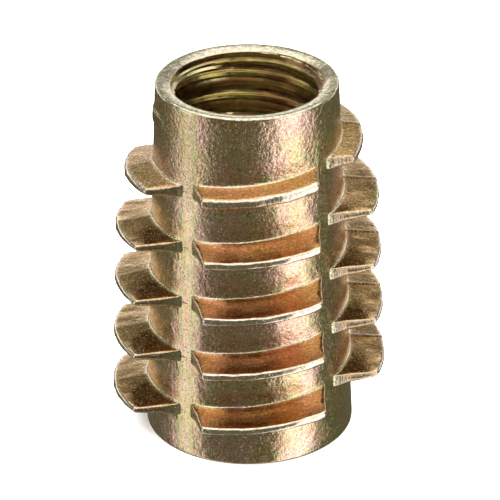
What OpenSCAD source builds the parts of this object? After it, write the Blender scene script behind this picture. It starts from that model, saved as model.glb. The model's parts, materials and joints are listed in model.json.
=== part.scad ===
// Threaded insert for wood: a die-cast taper barrel with a coarse outer thread in four
// rows of fins, a tapped bore at the pilot end and a hexagon drive socket at the head end.
// It stands on its head face. The axis is Z, and the thread is right-handed.

/* [Barrel] */
// Length from the head face to the pilot face
length = 15; // [12:0.5:20]
// Outside diameter at the pilot face, which enters the wood first
pilot_d = 7.26; // [6.9:0.02:8]
// Outside diameter at the head face
head_d = 8.44; // [8.3:0.02:10.2]
// Rounding of the two outer rims
rim_round = 0.12; // [0.06:0.02:0.2]

/* [Bore and drive] */
// Diameter of the bore wall, which is the core diameter of the tapped thread
bore_d = 5.5; // [4.8:0.1:5.8]
// Bevel at the bore's mouth in the pilot face
mouth_bevel = 0.25; // [0.1:0.05:0.4]
// Width of the hexagon socket across its flats
hex_af = 6; // [5:0.1:6.4]
// Depth of the hexagon socket from the head face
hex_depth = 4; // [2.5:0.25:6]
// Bevel outside the corners of the hexagon socket, in the head face
hex_bevel = 0.1; // [0.02:0.02:0.2]

/* [Outer thread] */
// Rise of the thread in one turn
lead = 2.4; // [2:0.1:3]
// Height of a full fin above the barrel
fin_h = 1.45; // [1.1:0.01:1.8]
// Thickness of a fin where it leaves the barrel
fin_root_w = 0.62; // [0.5:0.01:0.8]
// Thickness of a fin at its outer edge
fin_tip_w = 0.3; // [0.2:0.01:0.4]
// Bevel that rounds off a fin's outer edge
fin_edge = 0.06; // [0.03:0.01:0.08]
// Fillet between a fin and the barrel
fin_fillet = 0.12; // [0.06:0.02:0.18]
// Height of the middle of the lowest fin above the head face
first_fin_z = 1.15; // [0.9:0.05:2]
// Length of barrel left above the middle of the highest fin
pilot_plain = 1.85; // [1.5:0.05:4]
// Length over which the fins grow shorter towards the pilot face
lead_in = 4.9; // [2.4:0.1:7]
// Height that the line of the fins' edges keeps above the barrel at the pilot face
lead_in_h = 0.28; // [0.12:0.01:0.6]

/* [Fin ends] */
// Angle at the barrel from a fin's middle to its end face, which leaves the gap between rows
fin_half_angle = 41.2; // [36:0.2:43]
// Draft of the end faces, measured from the direction of the fin's middle
end_draft = 6.2; // [2:0.2:8]

/* [Hidden] */
$fn = 96;
rows = 4;
row_angle = 360 / rows;
row_rise = lead / rows;
fin_count = floor((length - pilot_plain - first_fin_z) / row_rise + 0.001) + 1;
fin_sink = 0.2;
cut_over = 1;
barrel_slope = (head_d - pilot_d) / 2 / length;
flank_slope = (fin_root_w - fin_tip_w) / 2 / fin_h;

// Radius of the barrel's outside at a height
function barrel_r(z) = head_d / 2 - barrel_slope * z;

// Height of the fins above the barrel, full up to the lead-in and shorter along it
function fin_height(z) =
    fin_h - (fin_h - lead_in_h) * max(0, z - (length - lead_in)) / lead_in;

// Lean of a fin's disc: the angle of the helix half way up the fin
function fin_lean(rb) = atan(lead / (2 * PI * (rb + fin_h / 2)));

// Half width of a fin on the barrel radius rb, at a distance x from the axis: its end planes
// cross the barrel at the fin's half angle and close in by their draft
function half_width(rb, x) =
    (rb * sin(fin_half_angle + end_draft) - x * sin(end_draft)) / cos(end_draft);

// Half outline of a fin's section as pairs of radius and half thickness, from inside the
// barrel wall, round the fillet and out to the bevelled edge
function half_section(rb, rt) = [
    [rb - fin_sink, fin_root_w / 2 + fin_fillet + fin_sink / 2],
    [rb + fin_fillet * 0.2, fin_root_w / 2 + fin_fillet * 0.45],
    [rb + fin_fillet, fin_root_w / 2 - flank_slope * fin_fillet],
    [rt - fin_edge, fin_root_w / 2 - flank_slope * (rt - fin_edge - rb)],
    [rt, fin_root_w / 2 - flank_slope * (rt - fin_edge - rb) - fin_edge]
];

// Taper barrel with rounded outer rims
module barrel() {
    rotate_extrude()
    polygon([
        [0, 0],
        for (a = [-90:22.5:0])
            [barrel_r(0) - rim_round * (1 - cos(a)), rim_round * (1 + sin(a))],
        for (a = [0:22.5:90])
            [barrel_r(length) - rim_round * (1 - cos(a)), length - rim_round * (1 - sin(a))],
        [0, length]
    ]);
}

// Disc with the section of a fin, from the barrel radius rb out to the edge radius rt
module fin_disc(rb, rt) {
    half = half_section(rb, rt);
    last = len(half) - 1;
    rotate_extrude()
    polygon(concat(half, [for (i = [last:-1:0]) [half[i][0], -half[i][1]]]));
}

// A fin with its middle on +X at the height z: a slice of a disc that leans with the helix,
// between two end faces that are drafted so that the die can open
module fin(z) {
    rb = barrel_r(z);
    rt = rb + fin_height(z);
    x_in = bore_d / 2 - fin_sink;
    x_out = rt + cut_over;
    reach = lead / 2;
    translate([0, 0, z])
    intersection() {
        rotate([fin_lean(rb), 0, 0])
        fin_disc(rb, rt);
        translate([0, 0, -reach])
        linear_extrude(2 * reach)
        polygon([
            [x_in, -half_width(rb, x_in)],
            [x_out, -half_width(rb, x_out)],
            [x_out, half_width(rb, x_out)],
            [x_in, half_width(rb, x_in)]
        ]);
    }
}

// Fins in four rows up the helix, from the lowest at the back to the highest
module fins() {
    for (i = [0:fin_count - 1])
    rotate([0, 0, (i + 1) * row_angle])
    fin(first_fin_z + i * row_rise);
}

// Bore wall and its bevelled mouth
module bore() {
    translate([0, 0, hex_depth - cut_over])
    cylinder(d = bore_d, h = length - hex_depth + 2 * cut_over);
    translate([0, 0, length - mouth_bevel])
    cylinder(d1 = bore_d, d2 = bore_d + 2 * (mouth_bevel + cut_over), h = mouth_bevel + cut_over);
}

// Hexagon drive socket and the cone that bevels its opening down to the flats
module drive_socket() {
    hex_d = hex_af / cos(30);
    bevel_h = hex_bevel + (hex_d - hex_af) / 2;
    translate([0, 0, -cut_over])
    cylinder(d = hex_d, h = hex_depth + cut_over, $fn = 6);
    translate([0, 0, -cut_over])
    cylinder(d1 = hex_af + 2 * (bevel_h + cut_over), d2 = hex_af, h = bevel_h + cut_over);
}

module insert() {
    color("#b9a06c")
    difference() {
        union() {
            barrel();
            fins();
        }
        bore();
        drive_socket();
    }
}

insert();
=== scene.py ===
# %% [markdown]
# # A die-cast threaded insert with a yellow passivated finish
#
# The insert is one zinc casting: a taper barrel, a coarse outer thread broken into four rows
# of fins, a tapped bore at the pilot end and a hexagon socket at the head end. Everything
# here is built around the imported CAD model, which gives the box that the mesh has to stay in.

# %% Load the frame
import bpy
import json
import math
import numpy as np
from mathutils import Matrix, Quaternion, Vector


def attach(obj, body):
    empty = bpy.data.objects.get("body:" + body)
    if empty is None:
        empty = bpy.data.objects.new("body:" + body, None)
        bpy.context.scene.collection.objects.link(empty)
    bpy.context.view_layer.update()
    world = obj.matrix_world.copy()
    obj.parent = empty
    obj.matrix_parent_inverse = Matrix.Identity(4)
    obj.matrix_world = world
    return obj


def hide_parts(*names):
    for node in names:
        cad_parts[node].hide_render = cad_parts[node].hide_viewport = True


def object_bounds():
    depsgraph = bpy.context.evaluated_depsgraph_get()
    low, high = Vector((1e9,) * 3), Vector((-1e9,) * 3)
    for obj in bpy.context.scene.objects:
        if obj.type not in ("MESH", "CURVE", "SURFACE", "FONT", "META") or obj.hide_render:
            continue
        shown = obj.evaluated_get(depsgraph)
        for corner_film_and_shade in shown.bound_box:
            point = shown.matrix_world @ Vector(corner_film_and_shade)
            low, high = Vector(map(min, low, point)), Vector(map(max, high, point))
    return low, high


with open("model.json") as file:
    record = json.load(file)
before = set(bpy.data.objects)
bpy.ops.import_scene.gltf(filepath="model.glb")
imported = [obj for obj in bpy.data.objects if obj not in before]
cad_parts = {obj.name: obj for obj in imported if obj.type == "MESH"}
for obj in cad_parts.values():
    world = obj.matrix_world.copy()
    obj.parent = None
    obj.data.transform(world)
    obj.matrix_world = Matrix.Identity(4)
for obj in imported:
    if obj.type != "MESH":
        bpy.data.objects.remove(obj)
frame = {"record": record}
cad_low, cad_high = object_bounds()
MM = 0.001
print("CAD box in mm:", [round(v / MM, 3) for v in (*cad_low, *cad_high)])

# %% [markdown]
# ## Sizes
#
# The length and the bore come from the frame. The rest are the casting's own dimensions, in
# millimetres. They are those of the CAD source, but for two details that a mesh shows better:
# the bore has a short plain mouth, and the outer edge of each fin is worn round.

# %% Sizes of the barrel, bore and socket
mounts = {m["name"]: m for m in frame["record"]["mounts"]}
length = (cad_high.z - cad_low.z) / MM
bore_r = mounts["metric_thread"]["dims"]["r_mm"]
pilot_r = 3.63
head_r = 4.22
rim_round = 0.12
mouth_r = 3.0
mouth_depth = 0.36
socket_flat = 3.0
socket_depth = 4.0
socket_bevel = 0.1
print(f"barrel {length:.2f} mm long, bore radius {bore_r:.2f} mm")

# %% Sizes of the outer thread
lead = 2.4
rows = 4
fin_count = 21
first_fin_z = 1.15
fin_h = 1.45
fin_root_w = 0.62
fin_tip_w = 0.3
fin_fillet = 0.12
edge_wear = 0.93  # share of a fin edge's half thickness that is worn round
lead_in = 4.9
lead_in_h = 0.28
half_angle = 41.2
end_draft = 6.2


def barrel_r(z):
    """Radius of the taper barrel at a height."""
    return head_r + (pilot_r - head_r) * z / length


def fin_height(z):
    """Height of the fins above the barrel: full, then shorter towards the pilot face."""
    along = max(0.0, z - (length - lead_in)) / lead_in
    return fin_h - (fin_h - lead_in_h) * along


# %% [markdown]
# ## Cast surfaces are never quite true
#
# A casting shrinks and its die wears, so no edge is dead straight. A sum of a few sine waves
# with seeded directions gives a smooth wobble that is the same on each run. It moves the skin
# inwards, and the fins a little up and down, so that the casting stays in its box.

# %% A smooth seeded wobble
rng = np.random.default_rng(6)
WAVES = 24
WAVE_SPREAD = (0.6, 1.6)  # shortest and longest wave, as shares of the wobble's size


def make_wobble(size_mm):
    """Returns a function from points in mm to a smooth value from 0 to 1."""
    directions = rng.normal(size=(WAVES, 3))
    directions /= np.linalg.norm(directions, axis=1)[:, None]
    spread = rng.uniform(*WAVE_SPREAD, WAVES)
    k = directions * (2 * math.pi / (size_mm * spread))[:, None]
    phase = rng.uniform(0, 2 * math.pi, WAVES)

    def wobble(points):
        waves = np.sin(np.asarray(points) @ k.T + phase).mean(axis=-1)
        return np.clip(0.5 + waves * 1.6, 0, 1)

    return wobble


wide_wobble = make_wobble(2.2)
fine_wobble = make_wobble(0.7)

# %% [markdown]
# ## The grid of columns
#
# Booleans or a Screw modifier could make the threads. Here the skin is a set of columns round
# the axis, because they give one closed skin with even faces, and a formula places each point.
# Each column is a polyline that climbs the outside, crosses the pilot face, goes down the bore
# and the socket, and comes back along the head face. The columns stand closer together where a
# fin ends, so that its edges are crisp, and one column lies on each corner of the hexagon.

# %% Angles of the columns
TIP_ANGLE = 26.5  # the column that is fitted to the ends of the fins' edges
SEAM = 0.16  # the columns on both sides of the mould line
half_columns = [
    SEAM,
    *np.linspace(2, 24, 12),
    25.3, 26.0, 26.35, 26.65, 27.0, 27.8, 28.8,
    *np.linspace(30, 39.4, 8),
    40.4, 41.2, 42.2, 43.6,
]
row_columns = [-a for a in reversed(half_columns)] + [0.0] + half_columns
print("columns:", rows * len(row_columns))


def fin_tip_angle(rb, rt):
    """Angle from a fin's middle at which its end plane crosses the fin's edge."""
    plane = rb * math.sin(math.radians(half_angle + end_draft))
    return math.degrees(math.asin(plane / rt)) - end_draft


def end_plane_height(rb, angle):
    """Height above the barrel at which a fin's end plane cuts it off, at an angle."""
    plane = rb * math.sin(math.radians(half_angle + end_draft))
    return plane / math.sin(math.radians(max(abs(angle) + end_draft, 1.0))) - rb


def end_angle_at(rb, height):
    """Half angle that a fin spans at a height above the barrel."""
    plane = rb * math.sin(math.radians(half_angle + end_draft))
    return math.degrees(math.asin(min(1.0, plane / (rb + height)))) - end_draft


# %% [markdown]
# ## One fin, one column
#
# A fin's section is a tapered blade with a fillet at its root and rounded edges. Where its end
# plane cuts it off, the same section is simply shorter, and that makes the flat end face. The
# die opens across the two side rows, so half of each flank there is level and not helical:
# a helix would lock the casting in the die. The level half leaves a small step at the middle.

# %% Section of a fin
FILLET_STEPS = (0, 30, 60, 90)
EDGE_STEPS = (0, 30, 60, 90)
FLANK_STEPS = 3
END_ROUND = 0.12  # height over which a fin's edge turns down into its end face
SPREAD_UNDER = 0.12  # a fin lower than this spreads out towards the flat barrel
LARGEST_ROUNDING = 0.45  # of a fin's height, for the fillet and for the worn edge
flank_slope = (fin_root_w - fin_tip_w) / 2 / fin_h


def soft_min(a, b, k):
    """The smaller of two values, with a rounded change from one to the other."""
    return min(a, b) - max(k - abs(a - b), 0.0) ** 2 / (4 * k)


def half_blade(height):
    """Points of half a fin's section, as pairs of height above the barrel and half thickness."""
    f = min(fin_fillet, LARGEST_ROUNDING * height)
    e = min(edge_wear * (fin_root_w / 2 - flank_slope * height), LARGEST_ROUNDING * height)
    points = []
    for t in FILLET_STEPS:
        up = f * (1 - math.cos(math.radians(t)))
        flare = f * (1 - math.sin(math.radians(t)))
        points.append((up, fin_root_w / 2 + flare - flank_slope * up))
    for i in range(1, FLANK_STEPS):
        up = f + (height - e - f) * i / FLANK_STEPS
        points.append((up, fin_root_w / 2 - flank_slope * up))
    at_edge = fin_root_w / 2 - flank_slope * (height - e)
    for t in EDGE_STEPS:
        s, c = math.sin(math.radians(t)), math.cos(math.radians(t))
        points.append((height - e + e * s, at_edge - e + e * c))
    return points


FULL_BLADE = half_blade(fin_h)


def blade_in_column(height):
    """Half a fin's section at a height, which spreads out flat on the barrel as it vanishes."""
    if height <= 0:
        return [(0.0, w) for _, w in FULL_BLADE]
    grown = min(1.0, height / SPREAD_UNDER)
    short = half_blade(height)
    return [
        (up, w * grown + full_w * (1 - grown))
        for (up, w), (_, full_w) in zip(short, FULL_BLADE)
    ]


# %% The points of one fin in one column
def rise(angle, height, rb, side, parted):
    """Height of a flank over the fin's middle: the helix, or level on the half that would lock."""
    if parted and side * angle > 0:
        return side * lead / 360 * end_angle_at(rb, height) / 2
    return lead * angle / 360


def fin_points(zm, row_angle, column_angle, parted, full_height):
    """Points up one fin as (angle, radius, height), from under its lower flank to over its upper."""
    rb = barrel_r(zm)
    tip = fin_tip_angle(rb, rb + full_height)
    a = abs(column_angle)
    if a <= TIP_ANGLE:
        fitted = a * tip / TIP_ANGLE
    elif a < half_angle:
        fitted = tip + (a - TIP_ANGLE) * (half_angle - tip) / (half_angle - TIP_ANGLE)
    else:
        fitted = a
    fitted = math.copysign(fitted, column_angle)
    height = soft_min(full_height, end_plane_height(rb, fitted), END_ROUND)
    blade = blade_in_column(height)
    points = []
    for side, half in ((-1, blade), (1, list(reversed(blade)))):
        for up, w in half:
            share = min(1.0, up / fin_fillet)
            angle = column_angle + (fitted - column_angle) * share
            z = zm + rise(angle, up, rb, side, parted) + side * w
            points.append((row_angle + angle, barrel_r(z) + up, z))
    return points


# %% [markdown]
# ## Climbing the outside
#
# Each column starts at the rounded rim of the head face, climbs the barrel from fin to fin
# and ends at the rounded rim of the pilot face. A last trace of the thread, hardly proud of
# the barrel, stands over the highest fin of the left row, as the die's thread runs out there.

# %% A column up the outside
RIM_STEPS = (0, 22.5, 45, 67.5, 90)
BARREL_STEPS = 5
TRACE_H = 0.07
TRACE_ANGLE = 22  # half of the angle that the trace spans


def barrel_points(theta, z0, z1, steps):
    """Evenly spaced points up the plain barrel, without the two ends."""
    heights = [z0 + (z1 - z0) * i / steps for i in range(1, steps)]
    return [(theta, barrel_r(z), z) for z in heights]


def outer_column(row, column_angle):
    """All the points of one column up the outside."""
    row_angle = row * 360 / rows
    theta = row_angle + column_angle
    points = []
    for t in RIM_STEPS:
        s, c = math.sin(math.radians(t)), math.cos(math.radians(t))
        points.append((theta, barrel_r(0) - rim_round * (1 - s), rim_round * (1 - c)))
    for i in range(fin_count + 1):
        if (i + 1) % rows != row % rows or (i == fin_count and row != 2):
            continue
        zm = first_fin_z + i * lead / rows
        trace = TRACE_H * max(0.0, 1 - (column_angle / TRACE_ANGLE) ** 2)
        full = fin_height(zm) if i < fin_count else trace
        fin = fin_points(zm, row_angle, column_angle, i % 2 == 1 and i < fin_count, full)
        points += barrel_points(theta, points[-1][2], fin[0][2], BARREL_STEPS)
        points += fin
    top = [
        (
            theta,
            barrel_r(length) - rim_round * (1 - math.cos(math.radians(t))),
            length - rim_round * (1 - math.sin(math.radians(t))),
        )
        for t in RIM_STEPS
    ]
    points += barrel_points(theta, points[-1][2], top[0][2], 2 * BARREL_STEPS)
    return points + top


# %% [markdown]
# ## Down the inside
#
# The thread is an M6 x 1 and is tapped shallower than a full one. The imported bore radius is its
# crest, and in each turn a deep groove winds down beside a shallow one. A point of the bore is
# simply the widest of the groove, the plain mouth and a bevel where the tap bit into one side.

# %% Radius of the tapped bore
pitch = 1.0
groove_r_max = 3.05
thread_start = 0.44
CREST = ((0, 0), (0.1, 0))
SHALLOW_GROOVE = ((0.15, 0.5), (0.31, 0.6), (0.37, 0.25))
DEEP_GROOVE = ((0.56, 0.5), (0.66, 0.95), (0.76, 1), (0.81, 0.2), (1, 0))
GROOVE = CREST + SHALLOW_GROOVE + DEEP_GROOVE
TAP_SIDE = 15  # angle of the middle of the tap's bite
TAP_HALF_WIDTH = 34
TAP_BITE = 0.15
MOUTH_SLOPE = 8.0  # how steeply the wall narrows below the mouth, radius over depth


def groove_r(theta, z):
    """Radius of the tapped thread. GROOVE pairs the share of a turn passed with the depth's share."""
    turn = (thread_start + theta / 360 + (length - z) / pitch) % 1.0
    shares, depths = zip(*GROOVE)
    return bore_r + (groove_r_max - bore_r) * float(np.interp(turn, shares, depths))


def bore_wall_r(theta, z):
    """Radius of the bore: the thread, the plain mouth, or the bevel where the tap bit."""
    side = ((theta - TAP_SIDE + 180) % 360 - 180) / TAP_HALF_WIDTH
    deep = length - z
    mouth = min(mouth_r, mouth_r - MOUTH_SLOPE * (deep - mouth_depth))
    bitten = mouth_r + TAP_BITE * max(0.0, 1 - side**2) - deep
    return max(groove_r(theta, z), mouth, bitten)


# %% A column down the inside
CREST_ROWS = (0, 0.05, 0.1)
SHALLOW_ROWS = (0.13, 0.16, 0.23, 0.3, 0.33, 0.37)
DEEP_ROWS = (0.47, 0.56, 0.66, 0.71, 0.76, 0.78, 0.81, 0.9)
SOCKET_ROWS = (3.9, 3, 2, 1.2, 0.8, 0.62, 0.54, 0.46, 0.38, 0.3, 0.22, 0.15, 0.1, 0.05)
EDGE_BREAK = 0.02
RIM_DIP = 0.1  # fall of the pilot face from its outer edge to the bore
MOUTH_STEP = 0.04
MOUTH_BAND = 0.12  # height below the mouth that keeps the mouth's close rows
ROW_GAP = 0.02  # least distance from the mouth's rows to the thread's
FLOOR_GAP = 0.05  # and from the thread's rows to the socket's floor
FLOOR_EDGE = 0.03
FACE_STEPS = 6
CORNER_EASE = 0.05
bevel_h = socket_bevel + socket_flat * (1 / math.cos(math.radians(30)) - 1)
corner_r = socket_flat / math.cos(math.radians(30)) - CORNER_EASE


def socket_r(theta, z):
    """Radius of the hexagon socket with its bevelled opening and eased corners."""
    from_flat = (theta % 60) - 30
    hexagon = min(corner_r, socket_flat / math.cos(math.radians(from_flat)))
    return max(hexagon, socket_flat + bevel_h - z)


def inner_column(theta):
    """All the points of one column from the pilot face down to the head face."""
    edge = bore_wall_r(theta, length) + EDGE_BREAK
    rim = barrel_r(length) - rim_round
    points = []
    for i in range(1, FACE_STEPS + 1):
        share = i / FACE_STEPS
        points.append((theta, rim + (edge - rim) * share, length - RIM_DIP * share**2))
    mouth = length - RIM_DIP - EDGE_BREAK
    heights = list(np.arange(mouth, length - mouth_depth - MOUTH_BAND, -MOUTH_STEP))
    low = heights[-1] - ROW_GAP
    for turn in range(-2, int(length / pitch) + 3):
        for share in CREST_ROWS + SHALLOW_ROWS + DEEP_ROWS:
            z = length + pitch * (thread_start + theta / 360 - turn - share)
            if socket_depth + FLOOR_GAP < z < low:
                heights.append(z)
    heights.append(socket_depth + FLOOR_EDGE)
    points += [(theta, bore_wall_r(theta, z), z) for z in heights]
    inside = bore_wall_r(theta, socket_depth) + FLOOR_EDGE
    outside = socket_r(theta, socket_depth)
    points += [(theta, inside + (outside - inside) * i / 2, socket_depth) for i in range(3)]
    for z in (*SOCKET_ROWS, EDGE_BREAK):
        points.append((theta, socket_r(theta, z), z))
    opening = socket_r(theta, 0) + EDGE_BREAK
    rim = barrel_r(0) - rim_round
    points += [(theta, opening + (rim - opening) * i / 3, 0.0) for i in range(3)]
    return points


# %% [markdown]
# ## Zipping the columns together
#
# Neighbouring columns don't always have the same number of points, because the rows of fins
# are staggered up the helix and the groove winds out at both ends. So each pair is zipped:
# a triangle is added on whichever side has travelled less of its own way so far.

# %% Zip two columns into triangles
def zip_columns(left, right, left_keys, right_keys):
    """Triangles between two polylines of vertex numbers, whose keys grow along the way."""
    faces = []
    i = j = 0
    while i < len(left) - 1 or j < len(right) - 1:
        if j == len(right) - 1 or (i < len(left) - 1 and left_keys[i + 1] <= right_keys[j + 1]):
            faces.append((left[i], right[j], left[i + 1]))
            i += 1
        else:
            faces.append((left[i], right[j], right[j + 1]))
            j += 1
    return faces


def to_xyz(points):
    """Points in mm from (angle in degrees, radius, height)."""
    p = np.array(points, float)
    a = np.radians(p[:, 0])
    return np.column_stack([p[:, 1] * np.cos(a), p[:, 1] * np.sin(a), p[:, 2]])


# %% Build all the columns
columns = [(row, a) for row in range(rows) for a in row_columns]
vertices = []
column_of = []
outer_ids, inner_ids, outer_keys, inner_keys = [], [], [], []
for row, a in columns:
    outside = outer_column(row, a)
    inside = inner_column(row * 360 / rows + a)
    first = len(vertices)
    vertices += outside + inside
    column_of += [len(outer_ids)] * (len(vertices) - first)
    outer_ids.append(list(range(first, first + len(outside))))
    inner_ids.append(list(range(first + len(outside), len(vertices))))
    outer_keys.append([z for _, _, z in outside])
    inner_keys.append([-z for _, _, z in inside])
print("points in a column:", len(outer_ids[0]), "outside and", len(inner_ids[0]), "inside")

# %% Zip the outside whole and the inside in stretches
def stretches(ids, points):
    """The inside as five stretches: pilot face, bore, socket floor, socket wall and head face."""
    z = [points[i][2] for i in ids]
    floor_at = next(k for k, v in enumerate(z) if abs(v - socket_depth) < 1e-9)
    cuts = [0, FACE_STEPS, floor_at, floor_at + 2, len(ids) - 3, len(ids) - 1]
    return [ids[a : b + 1] for a, b in zip(cuts, cuts[1:])]


def share_keys(part):
    """Keys from 0 to 1 along a stretch by place in the list."""
    return [k / max(1, len(part) - 1) for k in range(len(part))]


faces = []
count = len(columns)
for c in range(count):
    n = (c + 1) % count
    faces += zip_columns(outer_ids[c], outer_ids[n], outer_keys[c], outer_keys[n])
    here = stretches([outer_ids[c][-1]] + inner_ids[c], vertices)
    there = stretches([outer_ids[n][-1]] + inner_ids[n], vertices)
    for number, (left, right) in enumerate(zip(here, there)):
        if number == 1:
            keys = [[-vertices[i][2] for i in part] for part in (left, right)]
        else:
            keys = [share_keys(left), share_keys(right)]
        faces += zip_columns(left, right, *keys)
    last = ([inner_ids[c][-1], outer_ids[c][0]], [inner_ids[n][-1], outer_ids[n][0]])
    faces += zip_columns(*last, [0, 1], [0, 1])
print("triangles:", len(faces))

# %% Ease the skin inwards and make the mesh
EASE = 0.004  # in mm, as the next four are, and the same all over the outside
WIDE_EASE = 0.014  # the wide wobble's, at the fins' edges
FINE_EASE = 0.012  # the fine wobble's, on the barrel
FIN_EASE = 0.02  # the fine wobble's extra, at the fins' edges
FIN_LIFT = 0.03  # how far the fins' edges wander up and down
xyz = to_xyz(vertices)
radius = np.hypot(xyz[:, 0], xyz[:, 1])
on_outside = radius > barrel_r(xyz[:, 2]) - rim_round
on_face = (xyz[:, 2] < 0.001) | (xyz[:, 2] > length - 0.001)
local_h = np.array([fin_height(z) for z in xyz[:, 2]])
proud = np.clip((radius - barrel_r(xyz[:, 2])) / local_h, 0, 1)
depth = EASE + WIDE_EASE * wide_wobble(xyz) * proud + (FINE_EASE + FIN_EASE * proud) * fine_wobble(xyz)
depth = np.where(on_outside, depth, 0.0)
xyz[:, :2] *= (1 - depth / radius)[:, None]
lift = (fine_wobble(xyz[:, [1, 2, 0]]) - 0.5) * FIN_LIFT * proud
xyz[:, 2] += np.where(on_outside & ~on_face, lift, 0.0)
mesh = bpy.data.meshes.new("insert_casting")
mesh.from_pydata((xyz * MM).tolist(), [], faces)
mesh.validate()
mesh.update()
casting = bpy.data.objects.new("insert_casting", mesh)
bpy.context.scene.collection.objects.link(casting)
print("vertices:", len(mesh.vertices), "faces:", len(mesh.polygons))

# %% [markdown]
# ## What each spot of the skin is
#
# The finish wears and colours by place: fin edges rub bare, and end faces carry drag marks from
# the die. Shade is painted in as well. The fin flanks are browned as painted shade. The corners of
# the front and back fins are painted orange, partly for a thicker film and partly as painted shade.
# The bore is painted in darker bands as painted shade. Five values are stored on the vertices, so
# that the material can read them: how proud a spot stands as a share of its fin's height, how far
# it faces round the barrel, and how near it is to the front and back rows of fins, which take the
# orange film and painted shade. They also say how near it is to a gap between the rows, and
# whether it is in the bore.

# %% Store the five values
GAP_WIDTH = 2.2  # degrees
OUTSIDE_FROM = 3.3  # mm, between the bore and the outside
BORE_UP_TO = 3.1  # mm, between the bore and the pilot face
SHARP_FROM = 50  # degrees
mesh.shade_smooth()
mesh.set_sharp_from_angle(angle=math.radians(SHARP_FROM))
normals = np.empty(len(mesh.vertices) * 3, dtype=np.float32)
mesh.vertex_normals.foreach_get("vector", normals)
normals = normals.reshape(-1, 3)
around = (xyz[:, 0] * normals[:, 1] - xyz[:, 1] * normals[:, 0]) / radius
around_row = np.array([abs(a) for _, a in columns])[column_of]
vertex_values = {
    "proud": proud * np.where(on_outside, 1.0, 0.0),
    "end_face": np.clip(np.abs(around) * 1.6 - 0.4, 0, 1) * np.where(proud > 0.01, 1.0, 0.0),
    "front_row": np.sin(np.arctan2(xyz[:, 1], xyz[:, 0])) ** 2,
    "gap": np.exp(-(((around_row - half_angle) / GAP_WIDTH) ** 2)) * (radius > OUTSIDE_FROM),
    "bore": np.where((radius < BORE_UP_TO) & (xyz[:, 2] < length - RIM_DIP - 0.01), 1.0, 0.0),
}
for name, values in vertex_values.items():
    stored = mesh.attributes.new(name, "FLOAT", "POINT")
    stored.data.foreach_set("value", values.astype(np.float32))
    print(f"{name}: {(values > 0.5).mean():.0%} of the vertices")

# %% [markdown]
# ## Building materials with a short function
#
# `node()` adds one node, sets its values and makes its links, so a material reads as a list
# of steps. Colours are written as sRGB hex, as a colour picker shows them, and turned into
# the linear values that a shader works in.

# %% Helpers for materials
def linear(hex_colour):
    """Linear RGBA from an sRGB hex colour."""
    channels = [int(hex_colour[i : i + 2], 16) / 255 for i in (1, 3, 5)]
    return (*[c / 12.92 if c <= 0.04045 else ((c + 0.055) / 1.055) ** 2.4 for c in channels], 1.0)


def node(tree, kind, settings=None, **inputs):
    """Adds a node. Inputs are values or other nodes' output sockets; names use _ for a space."""
    made = tree.nodes.new("ShaderNode" + kind)
    for key, value in (settings or {}).items():
        setattr(made, key, value)
    for key, value in inputs.items():
        place = int(key[1:]) if key[0] == "i" and key[1:].isdigit() else key.replace("_", " ")
        if isinstance(value, bpy.types.NodeSocket):
            tree.links.new(value, made.inputs[place])
        else:
            made.inputs[place].default_value = value
    return made


def noise(tree, place, size_mm, detail=2.0, rough=0.5, stretch=(1, 1, 1)):
    """Noise whose blobs are about size_mm across, longer along an axis whose stretch is over 1."""
    scale = [1 / (size_mm * MM * s) for s in stretch]
    mapped = node(tree, "Mapping", Vector=place, Scale=scale)
    made = node(tree, "TexNoise", Vector=mapped.outputs[0], Scale=1.0, Detail=detail, Roughness=rough)
    return made.outputs[0]


def ramp(tree, value, low, high, to_low=0.0, to_high=1.0):
    """Maps low..high onto to_low..to_high with smooth ends."""
    settings = {"interpolation_type": "SMOOTHSTEP"}
    made = node(tree, "MapRange", settings, i0=value, i1=low, i2=high, i3=to_low, i4=to_high)
    return made.outputs[0]


def mix(tree, factor, a, b):
    """Mixes two colours."""
    return node(tree, "Mix", {"data_type": "RGBA"}, i0=factor, i6=a, i7=b).outputs[2]


def maths(tree, operation, a, b=0.0):
    """One sum, difference, product or other step on two values."""
    return node(tree, "Math", {"operation": operation}, i0=a, i1=b).outputs[0]


def attribute(tree, name):
    """A value stored on the vertices."""
    return node(tree, "Attribute", {"attribute_name": name}).outputs["Fac"]


# %% [markdown]
# ## Yellow-passivated zinc
#
# The casting is dipped in a passivation bath, which leaves a film less than a micron thick on
# bare zinc. Light interferes in the film, so its colour drifts from peach through gold to a
# pale green as its thickness changes. It is a metal, so the colour is its reflection: metallic
# is 1 and there is no diffuse colour under it. The skin comes out of a polished die, so its
# roughness is low and its highlights are bright, and a fine grain breaks them into sparkle.

# %% Colours of the film
PEACH = "#f2ceba"
GOLD = "#ecd0a4"
GREEN = "#c0d088"
ROSE = "#e6a78e"
BARE = "#f3eee4"
PALE_GREEN = "#bfd0ac"
ORANGE = "#cc9664"
SMUT = "#6f6a52"
OLIVE = "#d0ce98"
UMBER = "#ac8c74"
BROWN = "#ac8b4a"
DULL = "#bfbc9e"


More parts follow.
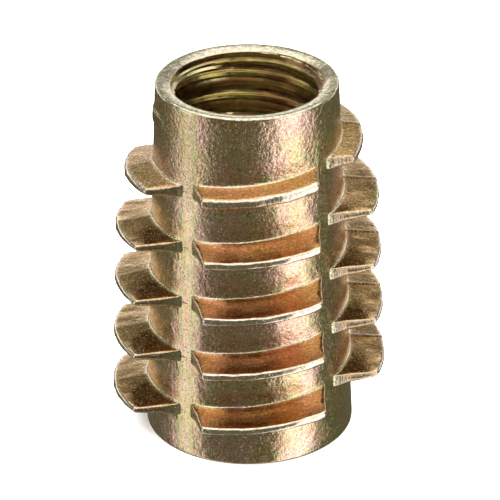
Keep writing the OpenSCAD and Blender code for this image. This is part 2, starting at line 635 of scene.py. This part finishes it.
def film_colour(tree, place, spots):
    """The film's drifting colour, green in the gaps and bare on the edges, with painted shade: brown on
    the fin flanks, orange on the front fins' flanks (partly a thicker film too) and umber bands in the
    bore.
    """
    drift = noise(tree, place, 2.4, 3)
    patches = noise(tree, place, 0.6, 5, 0.75)
    specks = noise(tree, place, 0.09, 3, 0.75)
    colour = mix(tree, ramp(tree, drift, 0.4, 0.6), linear(PEACH), linear(GOLD))
    colour = mix(tree, ramp(tree, patches, 0.52, 0.66, 0, 0.5), colour, linear(GREEN))
    colour = mix(tree, ramp(tree, patches, 0.48, 0.34, 0, 0.45), colour, linear(ROSE))
    # Brown on the fin flanks is painted shade between the fins.
    colour = mix(tree, spots["flank_shade"], colour, linear(BROWN))
    # Orange on the front and back fins' flanks is partly their thicker film and partly painted shade.
    colour = mix(tree, spots["corner_film_and_shade"], colour, linear(ORANGE))
    colour = mix(tree, ramp(tree, specks, 0.51, 0.66, 0, 0.6), colour, linear(SMUT))
    colour = mix(tree, ramp(tree, specks, 0.47, 0.36, 0, 0.4), colour, linear(BARE))
    # Umber and olive bands in the bore are painted shade in the bore, banded along its length.
    bands = noise(tree, place, 0.2, 2, stretch=(20, 20, 1))
    bore_shade_bands = mix(tree, ramp(tree, bands, 0.4, 0.6), linear(UMBER), linear(OLIVE))
    colour = mix(tree, maths(tree, "MULTIPLY", attribute(tree, "bore"), 0.85), colour, bore_shade_bands)
    colour = mix(tree, spots["foot"], colour, linear(PALE_GREEN))
    colour = mix(tree, spots["rim"], colour, linear(DULL))
    colour = mix(tree, spots["gap"], colour, linear(GREEN))
    return mix(tree, spots["rubbed"], colour, linear(BARE))


# %% Where the film is thick and where it is rubbed off
def on_pilot_face(tree, height, amount):
    """The amount on the pilot face, and 0 below it."""
    return ramp(tree, height, (length - 0.14) * MM, (length - 0.08) * MM, 0, amount)


def between(tree, value, low_end, low, high, high_end):
    """1 from low to high, falling to 0 at the two ends."""
    return maths(tree, "MULTIPLY", ramp(tree, value, low_end, low), ramp(tree, value, high_end, high))


def film_spots(tree, place):
    """Masks for the film and for painted shade, worked out from how proud a spot stands and where on the
    casting it is.
    """
    proud_spot = attribute(tree, "proud")
    flank = between(tree, proud_spot, 0.05, 0.15, 0.8, 1.0)
    height = node(tree, "SeparateXYZ", Vector=place).outputs[2]
    in_front = ramp(tree, attribute(tree, "front_row"), 0.2, 0.8, 0.2, 0.8)
    # Front and back fins, fading out near the pilot face: partly a thicker film there, partly painted
    # shade.
    thick_film_and_shade = maths(tree, "MULTIPLY", ramp(tree, height, 14.2 * MM, 10.9 * MM), in_front)
    corner_film_and_shade = maths(tree, "MULTIPLY", flank, thick_film_and_shade)
    foot = between(tree, proud_spot, 0.004, 0.03, 0.04, 0.1)
    wear = maths(tree, "MULTIPLY", noise(tree, place, 0.22, 4, 0.7), 0.2)
    rubbed = ramp(tree, maths(tree, "ADD", proud_spot, wear), 1.0, 1.14, 0, 0.8)
    on_top = on_pilot_face(tree, height, 1.0)
    scuffed = maths(tree, "MULTIPLY", on_top, ramp(tree, wear, 0.075, 0.14, 0, 0.8))
    on_end = maths(tree, "MULTIPLY", attribute(tree, "end_face"), 0.5)
    patchy = ramp(tree, wear, 0.07, 0.13, 0.1, 0.8)
    return {
        "corner_film_and_shade": corner_film_and_shade,
        "rim": maths(tree, "MULTIPLY", on_top, 0.75),
        # Brown over all the fin flanks: painted shade between the fins.
        "flank_shade": maths(tree, "MULTIPLY", flank, 0.85),
        "foot": maths(tree, "MULTIPLY", foot, 0.35),
        "gap": maths(tree, "MULTIPLY", attribute(tree, "gap"), patchy),
        "rubbed": maths(tree, "MAXIMUM", rubbed, maths(tree, "MAXIMUM", scuffed, on_end)),
    }


# %% Grain of the casting
def bump(tree, strength, deep_mm, height, normal=None):
    """One layer of relief, laid over the layers before it."""
    under = {} if normal is None else {"Normal": normal}
    made = node(tree, "Bump", Strength=strength, Distance=deep_mm * MM, Height=height, **under)
    return made.outputs[0]


def round_the_axis(tree, place):
    """Place written as (distance from the axis, x, y), so that a pattern can follow the flanks' arcs."""
    x, y, _ = node(tree, "SeparateXYZ", Vector=place).outputs
    flat = node(tree, "CombineXYZ", X=x, Y=y).outputs[0]
    out = node(tree, "VectorMath", {"operation": "LENGTH"}, i0=flat).outputs["Value"]
    return node(tree, "CombineXYZ", X=out, Y=x, Z=y).outputs[0]


def cast_bump(tree, place):
    """Orange-peel grain, arcs left by the die cutter on the flanks, and drag marks on the ends."""
    height = node(tree, "SeparateXYZ", Vector=place).outputs[2]
    in_bore = attribute(tree, "bore")
    on_flank = ramp(tree, attribute(tree, "proud"), 0.08, 0.2)
    in_front = ramp(tree, attribute(tree, "front_row"), 0.5, 0.9, 0.04, 0.4)
    on_end = maths(tree, "MULTIPLY", attribute(tree, "end_face"), 0.5)
    # The grain is rougher at the pilot end, and fainter in the bore, on the face and on the fins.
    cast = ramp(tree, height, 10 * MM, 12.5 * MM, 0.32, 0.65)
    cast = maths(tree, "SUBTRACT", cast, maths(tree, "MULTIPLY", in_bore, 0.6))
    cast = maths(tree, "SUBTRACT", cast, on_pilot_face(tree, height, 0.35))
    cast = maths(tree, "SUBTRACT", cast, maths(tree, "MULTIPLY", on_flank, 0.2))
    grain = noise(tree, place, 0.16, 3, 0.65)
    ripple = noise(tree, place, 0.6, 2)
    pips = ramp(tree, noise(tree, place, 0.07, 2, 0.6), 0.62, 0.74)
    arcs = noise(tree, round_the_axis(tree, place), 0.07, 2, 0.6, stretch=(1, 30, 30))
    drag = noise(tree, place, 0.07, 3, 0.7, stretch=(1, 1, 10))
    normal = bump(tree, cast, 0.06, grain)
    normal = bump(tree, 0.5, 0.05, ripple, normal)
    normal = bump(tree, ramp(tree, in_bore, 0, 1, 0.4, 0), 0.02, pips, normal)
    normal = bump(tree, maths(tree, "MULTIPLY", on_flank, in_front), 0.03, arcs, normal)
    return bump(tree, on_end, 0.05, drag, normal)


# %% The material
def passivated_zinc():
    """Yellow-passivated zinc die-casting."""
    material = bpy.data.materials.new("yellow_passivated_zinc_casting")
    material.use_nodes = True
    tree = material.node_tree
    shader = tree.nodes["Principled BSDF"]
    place = node(tree, "TexCoord").outputs["Object"]
    colour = film_colour(tree, place, film_spots(tree, place))
    rough = ramp(tree, noise(tree, place, 0.5, 3), 0.3, 0.7, 0.14, 0.26)
    tree.links.new(colour, shader.inputs["Base Color"])
    tree.links.new(rough, shader.inputs["Roughness"])
    tree.links.new(cast_bump(tree, place), shader.inputs["Normal"])
    shader.inputs["Metallic"].default_value = 1.0
    return material


zinc = passivated_zinc()
casting.data.materials.append(zinc)
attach(casting, "root")
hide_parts("insert")
print("material nodes:", len(zinc.node_tree.nodes))

# %% [markdown]
# ## Where the camera stands
#
# A small part is taken with a long lens from a little above, here 27 degrees up and some
# 135 mm away. The lens is long, so the taper of the barrel reads as a taper and not as
# perspective. The camera is a hair out of level, as a hand-set one is.

# %% Camera
CAMERA_SIDE = -6.6
CAMERA_UP = 27.37
CAMERA_AWAY = 135.1
CAMERA_TILT = -0.47


def from_angles(side, up):
    """Unit vector from the object at an angle round it and an angle above the horizon."""
    a, e = math.radians(side), math.radians(up)
    return Vector((math.sin(a) * math.cos(e), -math.cos(a) * math.cos(e), math.sin(e)))


camera_data = bpy.data.cameras.new("camera")
camera_data.lens = 242.3
camera_data.shift_x = 0.0034
camera_data.shift_y = 0.0009
camera_data.clip_start = 0.005
camera_data.clip_end = 20
camera = bpy.data.objects.new("camera", camera_data)
back = from_angles(CAMERA_SIDE, CAMERA_UP)
camera.location = Vector((0, 0, length / 2 * MM)) + back * CAMERA_AWAY * MM
aim = (-back).to_track_quat("-Z", "Y")
tilted = aim @ Quaternion((0, 0, 1), math.radians(CAMERA_TILT))
camera.rotation_euler = tilted.to_euler()
bpy.context.scene.collection.objects.link(camera)
bpy.context.scene.camera = camera

# %% [markdown]
# ## The studio
#
# Metal shows the room and not itself. Two tall soft strips stand to the left and the right of
# the camera, a soft sheet hangs overhead, and behind the insert a dim wall stands over a bright
# horizon. The rest of the room is dark. They are drawn in the world by direction, so that they
# are smooth and need no lamps.

# %% World with two soft strips
LEFT_STRIP = (-76, 14)  # middle and half width, in degrees round from the camera
RIGHT_STRIP = (56, 20)
STRIP_EDGE = 6
LEFT_POWER = 0.66
ROOM_STRENGTH = 1.8
DARK_ROOM = "#4a4a3c"
STRIP_LIGHT = "#fffaf8"
WALL = "#757165"
HORIZON = "#fffdf6"
SHEET = "#fffdf8"


def strip(tree, side, middle, half_width):
    """1 inside a strip at an angle round the object, falling to 0 over a soft edge."""
    off = maths(tree, "ABSOLUTE", maths(tree, "SUBTRACT", side, middle))
    return ramp(tree, off, half_width + STRIP_EDGE, half_width - STRIP_EDGE)


def studio_world():
    """Dark room with a strip on each side, a sheet overhead, and a dim wall and horizon behind."""
    world = bpy.data.worlds.new("studio")
    world.use_nodes = True
    tree = world.node_tree
    out = node(tree, "TexCoord").outputs["Generated"]
    turned = node(tree, "Mapping", Vector=out, Rotation=(0, 0, math.radians(-CAMERA_SIDE)))
    right_way, back_way, up_way = node(tree, "SeparateXYZ", Vector=turned.outputs[0]).outputs
    side = maths(tree, "ARCTAN2", right_way, maths(tree, "MULTIPLY", back_way, -1.0))
    side = maths(tree, "MULTIPLY", side, 180 / math.pi)
    left = strip(tree, side, *LEFT_STRIP)
    right = strip(tree, side, *RIGHT_STRIP)
    strips = maths(tree, "ADD", maths(tree, "MULTIPLY", left, LEFT_POWER), right)
    strips = maths(tree, "MULTIPLY", strips, ramp(tree, up_way, 0.75, 0.3))
    above = ramp(tree, up_way, 0.6, 0.7)
    rear = maths(tree, "MULTIPLY", ramp(tree, back_way, 0.2, 0.7), ramp(tree, up_way, -0.05, 0.1))
    horizon = maths(tree, "MULTIPLY", rear, ramp(tree, up_way, 0.36, 0.14))
    colour = mix(tree, strips, linear(DARK_ROOM), linear(STRIP_LIGHT))
    colour = mix(tree, maths(tree, "MULTIPLY", rear, 0.6), colour, linear(WALL))
    colour = mix(tree, horizon, colour, linear(HORIZON))
    colour = mix(tree, maths(tree, "MULTIPLY", above, 0.9), colour, linear(SHEET))
    background = tree.nodes["Background"]
    tree.links.new(colour, background.inputs["Color"])
    background.inputs["Strength"].default_value = ROOM_STRENGTH
    bpy.context.scene.world = world


studio_world()
bpy.context.scene.view_settings.view_transform = "Standard"

# %% [markdown]
# ## Floor and its light
#
# The insert stands on a plain white sheet. Reflections pass through the sheet to the room, so
# the barrel mirrors the strips and not the floor, and the lamp over it lights the sheet alone.

# %% Floor
bpy.ops.mesh.primitive_plane_add(size=6, location=(0, 0, 0))
floor = bpy.context.object
floor.name = "floor"
paper = bpy.data.materials.new("white_paper")
paper.use_nodes = True
paper_shader = paper.node_tree.nodes["Principled BSDF"]
paper_shader.inputs["Base Color"].default_value = linear("#f4f4f4")
paper_shader.inputs["Roughness"].default_value = 0.9
floor.data.materials.append(paper)
floor.visible_glossy = False
floor.visible_shadow = False

# %% Lamp over the floor
lamp_data = bpy.data.lights.new("floor_lamp", "AREA")
lamp_data.shape = "DISK"
lamp_data.size = 2.4
lamp_data.energy = 90
lamp = bpy.data.objects.new("floor_lamp", lamp_data)
lamp.location = (0, 0, 0.9)
lamp.visible_glossy = False
bpy.context.scene.collection.objects.link(lamp)
